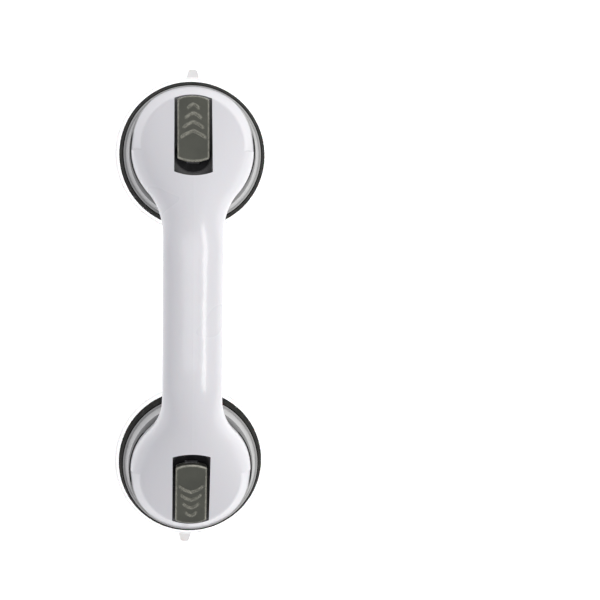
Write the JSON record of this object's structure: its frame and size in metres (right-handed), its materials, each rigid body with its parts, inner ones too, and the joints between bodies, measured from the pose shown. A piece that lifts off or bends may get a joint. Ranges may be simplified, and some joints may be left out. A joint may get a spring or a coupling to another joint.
{
  "type": "suction grab bar",
  "caption": "White hollow grab handle with a translucent suction cup and a grey cam lever at each end, for holding on to a smooth wall.",
  "frame": {"origin": "on the wall plane, midway between the cups", "axes": "+X along the handle to the right cup, +Z away from the wall, +Y across"},
  "size_m": [0.3166, 0.101, 0.074],
  "materials": {
    "white_plastic": "glossy moulded ABS",
    "grey_plastic": "satin moulded plastic",
    "soft_ring": "matte soft rubber",
    "clear_disc": "milky translucent soft plastic",
    "olive_plastic": "satin moulded plastic",
    "dark_nylon": "moulded nylon",
    "cast_metal": "plain die casting",
    "steel": "bright plated steel"
  },
  "bodies": {
    "handle": {"handle_shell": "white_plastic", "grip_cover": "white_plastic", "cover_screws": "steel", "hood_left": "grey_plastic", "skirt_ring_left": "soft_ring", "suction_disc_left": "clear_disc", "cam_washer_left": "dark_nylon", "return_spring_left": "steel", "hood_screws_left": "steel", "hood_right": "grey_plastic", "skirt_ring_right": "soft_ring", "suction_disc_right": "clear_disc", "cam_washer_right": "dark_nylon", "return_spring_right": "steel", "hood_screws_right": "steel"},
    "stud_left": {"stud_left": "cast_metal"},
    "lever_left": {"lever_left": "olive_plastic", "pivot_pin_left": "steel"},
    "stud_right": {"stud_right": "cast_metal"},
    "lever_right": {"lever_right": "olive_plastic", "pivot_pin_right": "steel"}
  },
  "joints": [
    {"name": "stud_slide_left", "type": "slide", "parent": "handle", "child": "stud_left", "axis": [0, 0, 1], "range_m": [-0.003, 0], "deforming": ["suction_disc_left", "return_spring_left"]},
    {"name": "lever_pivot_left", "type": "hinge", "parent": "stud_left", "child": "lever_left", "pos_m": [-0.10225, 0, 0.0331], "axis": [0, 1, 0], "range_deg": [0, 85]},
    {"name": "stud_slide_right", "type": "slide", "parent": "handle", "child": "stud_right", "axis": [0, 0, 1], "range_m": [-0.003, 0], "deforming": ["suction_disc_right", "return_spring_right"]},
    {"name": "lever_pivot_right", "type": "hinge", "parent": "stud_right", "child": "lever_right", "pos_m": [0.10225, 0, 0.0331], "axis": [0, -1, 0], "range_deg": [0, 85]}
  ],
  "couplings": [
    {"joint": "lever_pivot_left", "follows": "stud_slide_left", "rad_per_m": -494.5},
    {"joint": "lever_pivot_right", "follows": "stud_slide_right", "rad_per_m": -494.5}
  ]
}
